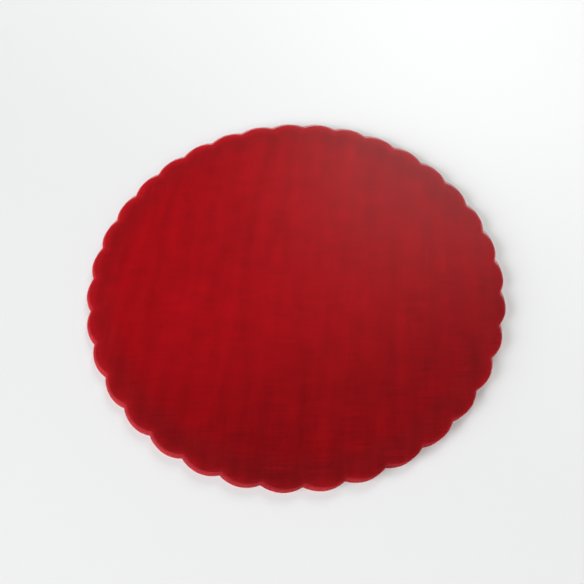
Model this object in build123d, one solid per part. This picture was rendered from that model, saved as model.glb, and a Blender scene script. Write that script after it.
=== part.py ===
from build123d import *

import math
import os

# A squared-up pile of sheer fabric rounds with scalloped edges, lying flat on a table.
# Units are millimetres. +Z is up, and +Y points to the back of the table.
# The origin is the centre of the bottom round's underside, which is the face that the pile rests on.

# Driving dimensions of one round, cut flat from one layer of cloth
overall_diameter = 240.0
scallop_count = 35
scallop_depth = 2.9
cloth_thickness = 0.09

# Driving dimensions of the pile
round_count = 50
lean = (1.4, 0.3)  # how far the top of the pile stands to the right of its foot, and to the back
slipped_share = 0.5  # the part of the lean that comes from the topmost rounds, which slip the furthest
slip_power = 6  # how few of the topmost rounds that is: the higher the fewer
edge_unevenness = 0.3  # rounds lie this far out of line with their neighbours, at most
turn_unevenness = 0.25  # degrees that a round is turned out of line, at most
turn_of_scallops = -16.9  # degrees from +X to the first notch between two scallops

# Two rounds near the top stick out further than the rest: place in the pile, then right, back, degrees
strays = {44: (1.6, 1.7, 0.8), 47: (1.5, 1.1, -0.6)}

notch_radius = overall_diameter / 2 - scallop_depth
scallop_pitch = 360 / scallop_count
golden_angle = 180 * (3 - math.sqrt(5))


def round_blank():
    """One flat round, centred on the origin, with its first notch between scallops on +X."""
    peak_radius = overall_diameter / 2
    scallops = []
    for i in range(scallop_count):
        start = Vector(notch_radius, 0).rotate(Axis.Z, i * scallop_pitch)
        peak = Vector(peak_radius, 0).rotate(Axis.Z, (i + 0.5) * scallop_pitch)
        end = Vector(notch_radius, 0).rotate(Axis.Z, (i + 1) * scallop_pitch)
        scallops.append(ThreePointArc(start, peak, end))
    return extrude(make_face(scallops), cloth_thickness)


def place_in_pile(number):
    """Where round 1, the lowest, up to round_count, the highest, lies: (right, back, degrees)."""
    if number == 1:
        return 0.0, 0.0, 0.0
    if number in strays:
        return strays[number]
    height_share = (number - 1) / (round_count - 1)
    lean_share = (1 - slipped_share) * height_share + slipped_share * height_share**slip_power
    direction = math.radians(number * golden_angle)
    spread = edge_unevenness * math.sin(2.1 * number) ** 2
    right = lean[0] * lean_share + spread * math.cos(direction)
    back = lean[1] * lean_share + spread * math.sin(direction)
    return right, back, turn_unevenness * math.sin(3.7 * number)


def round_name(number):
    """The name of each round, from bottom_round through round_02 and so on to top_round."""
    if number == 1:
        return "bottom_round"
    if number == round_count:
        return "top_round"
    return f"round_{number:02d}"


blank = round_blank()
os.makedirs("parts", exist_ok=True)
for number in range(1, round_count + 1):
    right, back, turn = place_in_pile(number)
    height = (number - 1) * cloth_thickness
    piece = Pos(right, back, height) * Rot(0, 0, turn_of_scallops + turn) * blank
    export_step(piece, f"parts/{round_name(number)}.step")
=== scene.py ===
import math

import bpy
import numpy as np
from mathutils import Matrix, Vector


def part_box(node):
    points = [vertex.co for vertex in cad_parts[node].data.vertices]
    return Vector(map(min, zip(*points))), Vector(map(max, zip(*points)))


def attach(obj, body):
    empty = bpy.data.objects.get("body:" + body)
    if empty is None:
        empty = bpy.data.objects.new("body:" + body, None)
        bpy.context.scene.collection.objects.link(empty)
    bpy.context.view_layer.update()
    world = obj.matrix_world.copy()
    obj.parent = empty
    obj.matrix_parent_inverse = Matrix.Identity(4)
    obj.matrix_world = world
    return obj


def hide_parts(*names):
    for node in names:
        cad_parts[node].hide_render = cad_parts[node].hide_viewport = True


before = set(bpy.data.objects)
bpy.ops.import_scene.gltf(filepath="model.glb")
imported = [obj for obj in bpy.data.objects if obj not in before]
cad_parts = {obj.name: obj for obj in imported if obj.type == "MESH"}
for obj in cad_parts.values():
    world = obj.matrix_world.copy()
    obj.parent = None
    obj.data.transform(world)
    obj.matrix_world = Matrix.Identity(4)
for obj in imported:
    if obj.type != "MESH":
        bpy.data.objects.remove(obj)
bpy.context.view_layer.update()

# Everything is in metres. The pile lies on the table at z = 0, and the camera looks along +Y.

# ---------------------------------------------------------------- the rounds' shape

SCALLOPS = 35
POINTS_PER_SCALLOP = 8
INNER_RINGS = (0.12, 0.3, 0.48, 0.65, 0.8)  # as shares of the notch radius
RIM_INSETS = (0.018, 0.011, 0.006, 0.0035, 0.002, 0.001, 0.0004, 0.0)  # rings that follow the scallops
CLOTH_SHARE = 0.5  # how much of a round's share of the height is cloth, and not air
BEAD_SHARE = 0.75  # the same at its melted edge, which is thicker
BEAD_TAPER = 0.0012  # how far in from the rim it is thicker
EDGE_BEAD = 0.00004  # how far the melted edge stands out
MELTED = 0.0005  # how wide the melted edge is
RIPPLE = 0.00003  # how far the top of the pile swells and sinks
ROUNDING = 0.00014  # how far the top of the pile falls away at its rim
SHOULDER = 0.005  # how far in from the rim it starts to fall
NOTCH_REACH = 0.0004  # a packed rim's points this near its smallest radius are in its notches
NOTCH_BOTTOM = 0.0001  # and the points this near are at the bottom of them

names = sorted(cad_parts, key=lambda name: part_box(name)[0][2])
pile_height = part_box(names[-1])[1][2]


def measure_round(name):
    """A packed round's centre, the angle of its first notch, and its notch and peak radii."""
    mesh = bpy.data.objects[name].data
    rim = np.array([v.co[:2] for v in mesh.vertices])
    centre = (rim.min(axis=0) + rim.max(axis=0)) / 2
    for _ in range(3):  # each pass weighs the equal scallops more evenly
        away = rim - centre
        radius = np.hypot(away[:, 0], away[:, 1])
        notches = radius < radius.min() + NOTCH_REACH
        centre = centre + away[notches].mean(axis=0)
    away = rim - centre
    radius = np.hypot(away[:, 0], away[:, 1])
    notches = radius < radius.min() + NOTCH_BOTTOM
    phase = np.exp(1j * SCALLOPS * np.arctan2(away[notches, 1], away[notches, 0])).mean()
    return centre, np.angle(phase) / SCALLOPS, radius.min(), radius.max()


def rim_radius(turn, notch, peak):
    """The rim's distance from the centre, turn radians from a peak, along one scallop's arc."""
    half = math.pi / SCALLOPS
    chord = notch * math.sin(half)
    rise = peak - notch * math.cos(half)
    arc = (chord**2 + rise**2) / (2 * rise)
    middle = peak - arc
    return middle * np.cos(turn) + np.sqrt(arc**2 - (middle * np.sin(turn)) ** 2)


def smooth(low, high, value):
    """0 on low's side, 1 on high's side, and an S-shaped slope between."""
    share = np.clip((value - low) / (high - low), 0, 1)
    return share * share * (3 - 2 * share)


def swell(x, y, inset):
    """How far the top of the pile stands above its flat height, inset metres in from the rim."""
    broad_waves = np.sin(31 * x + 0.4) * np.cos(24 * y - 0.7)  # 200 mm long along X, 260 mm along Y
    slanting_wave = np.sin(47 * y + 19 * x)  # 124 mm long
    fall = np.clip(1 - inset / SHOULDER, 0, 1) ** 2
    return RIPPLE * (broad_waves + 0.6 * slanting_wave) - ROUNDING * fall


def round_mesh(name):
    """One round as a thin closed sheet that follows the pile's swell, with a melted edge."""
    centre, first_notch, notch, peak = measure_round(name)
    low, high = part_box(name)[0][2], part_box(name)[1][2]
    around = SCALLOPS * POINTS_PER_SCALLOP
    step = np.arange(around)
    half = math.pi / SCALLOPS
    angle = first_notch + step * 2 * math.pi / around
    from_peak = (step % POINTS_PER_SCALLOP) * 2 * half / POINTS_PER_SCALLOP - half
    rim = rim_radius(from_peak, notch, peak)
    outward = np.column_stack([np.cos(angle), np.sin(angle)])

    rings = [np.full(around, share * notch) for share in INNER_RINGS]
    rings += [rim - inset for inset in RIM_INSETS]
    flat = np.vstack([centre] + [centre + outward * ring[:, None] for ring in rings])
    inset = np.concatenate([[notch]] + [rim - ring for ring in rings])
    edge = centre + outward * (rim + EDGE_BEAD)[:, None]

    middle = (low + high) / 2
    height_share = middle / pile_height
    cloth_share = CLOTH_SHARE + (BEAD_SHARE - CLOTH_SHARE) * smooth(BEAD_TAPER, 0.0, inset)
    half_cloth = (high - low) / 2 * cloth_share
    level = middle + height_share * swell(flat[:, 0], flat[:, 1], inset)
    edge_level = middle + height_share * swell(edge[:, 0], edge[:, 1], np.zeros(around))
    top = np.column_stack([flat, level + half_cloth])
    bottom = np.column_stack([flat, level - half_cloth])
    bead = np.column_stack([edge, edge_level])
    points = np.vstack([top, bottom, bead])

    mesh = bpy.data.meshes.new(name + "_cloth")
    mesh.from_pydata(points.tolist(), [], sheet_faces(around, len(rings)))
    mesh.shade_smooth()
    from_rim = np.concatenate([inset, inset, np.zeros(around)])
    mesh.attributes.new("from_rim", "FLOAT", "POINT").data.foreach_set("value", from_rim)
    for polygon in mesh.polygons:
        polygon.material_index = int(max(from_rim[corner] for corner in polygon.vertices) < MELTED)
    mesh.update()
    return mesh


def sheet_faces(around, rings):
    """The faces of a closed sheet: its top's centre and rings, its bottom's, and the edge between."""
    under = 1 + rings * around
    side = 2 * under
    last = under - around
    faces = []
    for i in range(around):
        j = (i + 1) % around
        faces.append((0, 1 + i, 1 + j))
        faces.append((under, under + 1 + j, under + 1 + i))
        for ring in range(rings - 1):
            a = 1 + ring * around
            b = a + around
            faces.append((a + i, b + i, b + j, a + j))
            faces.append((under + a + j, under + b + j, under + b + i, under + a + i))
        faces.append((last + i, side + i, side + j, last + j))
        faces.append((under + last + j, side + j, side + i, under + last + i))
    return faces


# ---------------------------------------------------------------- materials

VARIATION = (  # degrees it is turned, changes per metre each way, detail, change of tone, height in metres
    (0, (50, 1700, 2500), 1.0, 0.55, 0.00005),  # weft threads
    (0, (1700, 50, 2500), 1.0, 0.28, 0.00003),  # warp threads
    (7, (130, 16, 900), 2.0, 0.42, 0),  # moire streaks
    (0, (80, 80, 900), 2.0, 0.25, 0),  # blotches
    (0, (14, 14, 100), 1.0, 0.2, 0),  # clouds
)
RIM_ZONE = RIM_INSETS[0]
# The pale rim is partly the melted edge's own colour and partly a painted glow of light through the thin
# edge. The dull band inside it is painted shade. The last stop is the cloth's own colour.
RIM_COLOURS_WITH_GLOW_AND_SHADE = (  # from the rim inward, as shares of the rim zone
    (0.0, (0.66, 0.03, 0.045, 1)),
    (0.03, (0.58, 0.012, 0.02, 1)),
    (0.15, (0.54, 0.007, 0.013, 1)),
    (0.33, (0.48, 0.006, 0.011, 1)),
    (0.6, (0.49, 0.005, 0.010, 1)),
    (1.0, (0.55, 0.0025, 0.008, 1)),
)
TO_PAINTED_SHADE = (0.3, -0.95, 0)  # painted shade: the way the face gets darker, from its middle on
PAINTED_SHADE_REACH = 0.085  # how far that way it is darkest
PAINTED_FRONT_SHADE = -0.24
PAINTED_SHADE_INSET = 0.006  # how far in from the rim it first gets that dark
PAINTED_LIGHT_MIDDLE = (-0.03, 0.01, 0)  # painted shade: the face is a little darker away from here, where it is lit most
PAINTED_FALLOFF_REACH = (0.04, 0.13)  # from where to where it gets darker
PAINTED_FALLOFF_SHADE = -0.1
LIT_RIM = (-4.2, 7.3, 0)  # its product with a place on the rim runs from -1, in shade, to 1, in light
LIT_REACH = (0.002, 0.006)  # from where to where it fades, in from the rim
LIT_TONE = 0.22
TABLE_TONE = 0.84
TO_PAINTED_LIGHT = (0.6, 0.8, 0)  # painted light, a pool from the back right: the way the table gets paler
PAINTED_LIGHT_REACH = (-0.05, 0.25)  # from where to where, that way
PAINTED_LIGHT_TONE = 0.09


class Graph:
    """A short way to write the nodes of a material or a world."""

    def __init__(self, owner):
        owner.use_nodes = True
        self.tree = owner.node_tree

    def node(self, kind, settings=None, inputs=None):
        """A new node. Its inputs are set by name or number, to a value or to another node's socket."""
        node = self.tree.nodes.new("ShaderNode" + kind)
        for key, value in (settings or {}).items():
            setattr(node, key, value)
        for key, value in (inputs or {}).items():
            self.feed(node.inputs[key], value)
        return node

    def feed(self, socket, value):
        if isinstance(value, bpy.types.NodeSocket):
            self.tree.links.new(value, socket)
        else:
            socket.default_value = value

    def shade(self, name, inputs):
        """Sets the inputs of the node that comes with the material or world."""
        for key, value in inputs.items():
            self.feed(self.tree.nodes[name].inputs[key], value)

    def place(self):
        """Where a point is in the object's own space, which is the frame's at rest."""
        return self.node("TexCoord").outputs["Object"]

    def math(self, operation, a, b=0.0, c=0.0):
        return self.node("Math", {"operation": operation}, {0: a, 1: b, 2: c}).outputs[0]

    def measure(self, operation, a, b):
        """A distance or a dot product of two vectors."""
        return self.node("VectorMath", {"operation": operation}, {0: a, 1: b}).outputs["Value"]

    def slope(self, value, low, high, start=0.0, end=1.0):
        """start below low, end above high, and an S-shaped slope between."""
        settings = {"interpolation_type": "SMOOTHSTEP"}
        return self.node("MapRange", settings, {0: value, 1: low, 2: high, 3: start, 4: end}).outputs[0]

    def noise(self, place, turn, stretch, detail):
        """A soft random value round 0.5, turned, with grains 1 / stretch metres long on each axis."""
        turned = self.node("VectorRotate", None, {"Vector": place, "Angle": math.radians(turn)}).outputs[0]
        mapped = self.node("Mapping", None, {"Vector": turned, "Scale": stretch}).outputs[0]
        return self.node("TexNoise", None, {"Vector": mapped, "Scale": 1.0, "Detail": detail}).outputs["Fac"]

    def ramp(self, factor, stops):
        """Colours that follow a factor from 0 to 1: (position, colour) for each stop."""
        node = self.node("ValToRGB", None, {"Fac": factor})
        elements = node.color_ramp.elements
        for position, colour in stops[1:-1]:
            elements.new(position).color = colour
        elements[0].color = stops[0][1]
        elements[-1].color = stops[-1][1]
        return node.outputs["Color"]


def weave(graph, place):
    """The cloth's tone, round 1, and the height of its threads in metres."""
    tone = 1.0
    relief = 0.0
    for turn, stretch, detail, strength, height in VARIATION:
        noise = graph.noise(place, turn, stretch, detail)
        tone = graph.math("MULTIPLY_ADD", noise, strength, tone)
        tone = graph.math("SUBTRACT", tone, strength / 2)
        if height:
            relief = graph.math("MULTIPLY_ADD", noise, height, relief)
    return tone, relief


def organza(name, opacity, roughness):
    """Sheer crimson organza: warp and weft threads, moire streaks, a dull band of painted shade, and a paler
    rim that is partly the melted edge's own colour and partly painted glow; painted shade darkens the face
    towards the front and away from its middle, and painted light brightens the rim at the back left.
    """
    material = bpy.data.materials.new(name)
    graph = Graph(material)
    place = graph.place()
    from_rim = graph.node("Attribute", {"attribute_name": "from_rim"}).outputs["Fac"]
    tone, relief = weave(graph, place)

    # painted shade: darker towards the front and away from the lit middle; painted light on the rim, palest
    # at the back left
    front = graph.slope(graph.measure("DOT_PRODUCT", place, TO_PAINTED_SHADE), 0.0, PAINTED_SHADE_REACH)
    inside = graph.slope(from_rim, 0.0, PAINTED_SHADE_INSET)
    falloff_shade = graph.slope(graph.measure("DISTANCE", place, PAINTED_LIGHT_MIDDLE), *PAINTED_FALLOFF_REACH)
    near_rim = graph.slope(from_rim, *LIT_REACH, 1.0, 0.0)
    lit = graph.measure("DOT_PRODUCT", place, LIT_RIM)
    tone = graph.math("MULTIPLY_ADD", graph.math("MULTIPLY", front, inside), PAINTED_FRONT_SHADE, tone)
    tone = graph.math("MULTIPLY_ADD", falloff_shade, PAINTED_FALLOFF_SHADE, tone)
    tone = graph.math("MULTIPLY_ADD", graph.math("MULTIPLY", lit, near_rim), LIT_TONE, tone)

    # the rim's colours, with painted glow at the rim and painted shade in the band inside it
    ring = graph.ramp(graph.math("DIVIDE", from_rim, RIM_ZONE), RIM_COLOURS_WITH_GLOW_AND_SHADE)
    colour = graph.node("VectorMath", {"operation": "SCALE"}, {"Vector": ring, "Scale": tone})
    bump = graph.node("Bump", None, {"Height": relief, "Distance": 1.0})
    graph.shade("Principled BSDF", {
        "Base Color": colour.outputs[0],
        "Normal": bump.outputs["Normal"],
        "Alpha": opacity,
        "Roughness": roughness,
        "Specular IOR Level": 0.26,
        "Sheen Weight": 0.8,
        "Sheen Roughness": 0.5,
        "Sheen Tint": (1.0, 0.03, 0.04, 1),
    })
    return material


def white_table():
    """A matt white table top, with painted light that makes it a little paler towards the back and the right.
    """
    material = bpy.data.materials.new("white_table")
    graph = Graph(material)
    # painted light: a pool from the back right makes the table paler that way
    paler = graph.slope(graph.measure("DOT_PRODUCT", graph.place(), TO_PAINTED_LIGHT), *PAINTED_LIGHT_REACH)
    tone = graph.math("MULTIPLY_ADD", paler, PAINTED_LIGHT_TONE, TABLE_TONE)
    colour = graph.node("CombineXYZ", None, {0: tone, 1: tone, 2: tone})
    graph.shade("Principled BSDF", {
        "Base Color": colour.outputs[0],
        "Roughness": 0.5,
        "Specular IOR Level": 0.35,
    })
    return material


# ---------------------------------------------------------------- pieces

def make_rounds():
    cloth = organza("crimson_organza", opacity=0.22, roughness=0.36)
    melted_edge = organza("melted_organza_edge", opacity=0.45, roughness=0.45)
    for name in names:
        mesh = round_mesh(name)
        mesh.materials.append(cloth)
        mesh.materials.append(melted_edge)
        piece = bpy.data.objects.new(name + "_cloth", mesh)
        bpy.context.collection.objects.link(piece)
        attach(piece, name)
        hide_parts(name)


# ---------------------------------------------------------------- table, light and camera

TABLE_SIDE = 16.0
TABLE_GAP = 0.00002  # keeps the table's face clear of the lowest round's
WALLS_FADE_BY = 0.4  # how high up the paler part of the room goes, as a sine
WALL_LIGHT = 0.5
ROOM_LIGHT = 0.07
CAMERA_ELEVATION = math.radians(59.7)  # how steeply it looks down on the pile's middle
CAMERA_DISTANCE = 0.347787  # from there
CAMERA_ROLL = math.radians(-2.02)
CAMERA_ASIDE = 0.0013  # how far to the right it stands
VIEW_LEVEL = 0.002  # the height of what it looks at, about half way up the pile
AIM = Vector((-0.0007, -0.0083, VIEW_LEVEL))
LENS = 36.6  # in millimetres, as the sensor's width is
SENSOR_WIDTH = 36


def make_table():
    bpy.ops.mesh.primitive_plane_add(size=TABLE_SIDE, location=(0, 0, -TABLE_GAP))
    table = bpy.context.object
    table.name = "table"
    table.data.materials.append(white_table())


def make_room():
    """The room around: paler near the horizon than overhead."""
    world = bpy.data.worlds.new("room")
    bpy.context.scene.world = world
    graph = Graph(world)
    ways = graph.node("SeparateXYZ", None, {0: graph.node("TexCoord").outputs["Generated"]})
    fade = {"Value": ways.outputs["Z"], "From Max": WALLS_FADE_BY, "To Min": WALL_LIGHT, "To Max": ROOM_LIGHT}
    strength = graph.node("MapRange", None, fade).outputs[0]
    graph.shade("Background", {"Color": (1, 1, 1, 1), "Strength": strength})


def make_light(name, place, size, power, colour):
    """A square window of light, turned to the pile."""
    data = bpy.data.lights.new(name, "AREA")
    data.shape = "SQUARE"
    data.size = size
    data.energy = power
    data.color = colour
    light = bpy.data.objects.new(name, data)
    bpy.context.collection.objects.link(light)
    light.location = place
    light.rotation_euler = (-Vector(place)).to_track_quat("-Z", "Y").to_euler()


def make_lights():
    make_light("window_left", (-4.6, -1.9, 1.75), size=3.4, power=375, colour=(0.975, 0.995, 1.03))
    make_light("window_back", (0.53, 1.4, 1.15), size=0.85, power=11.2, colour=(1.0, 1.0, 1.0))
    make_light("room_front", (0.6, -3.5, 3.2), size=4.2, power=154, colour=(1.01, 1.0, 0.97))
    bpy.context.scene.view_settings.view_transform = "Standard"


def make_camera():
    """The camera looks down at the pile from over its front edge, turned a little about its view."""
    before = math.cos(CAMERA_ELEVATION) * CAMERA_DISTANCE
    above = math.sin(CAMERA_ELEVATION) * CAMERA_DISTANCE
    place = Vector((CAMERA_ASIDE, -before, VIEW_LEVEL + above))
    data = bpy.data.cameras.new("camera")
    data.lens = LENS
    data.sensor_width = SENSOR_WIDTH
    camera = bpy.data.objects.new("camera", data)
    bpy.context.collection.objects.link(camera)
    look = (AIM - place).to_track_quat("-Z", "Y").to_matrix().to_4x4()
    camera.matrix_world = Matrix.Translation(place) @ look @ Matrix.Rotation(CAMERA_ROLL, 4, "Z")
    bpy.context.scene.camera = camera


make_rounds()
make_table()
make_room()
make_lights()
make_camera()
bpy.context.scene.cycles.transparent_max_bounces = 32  # light has to get through many sheer rounds
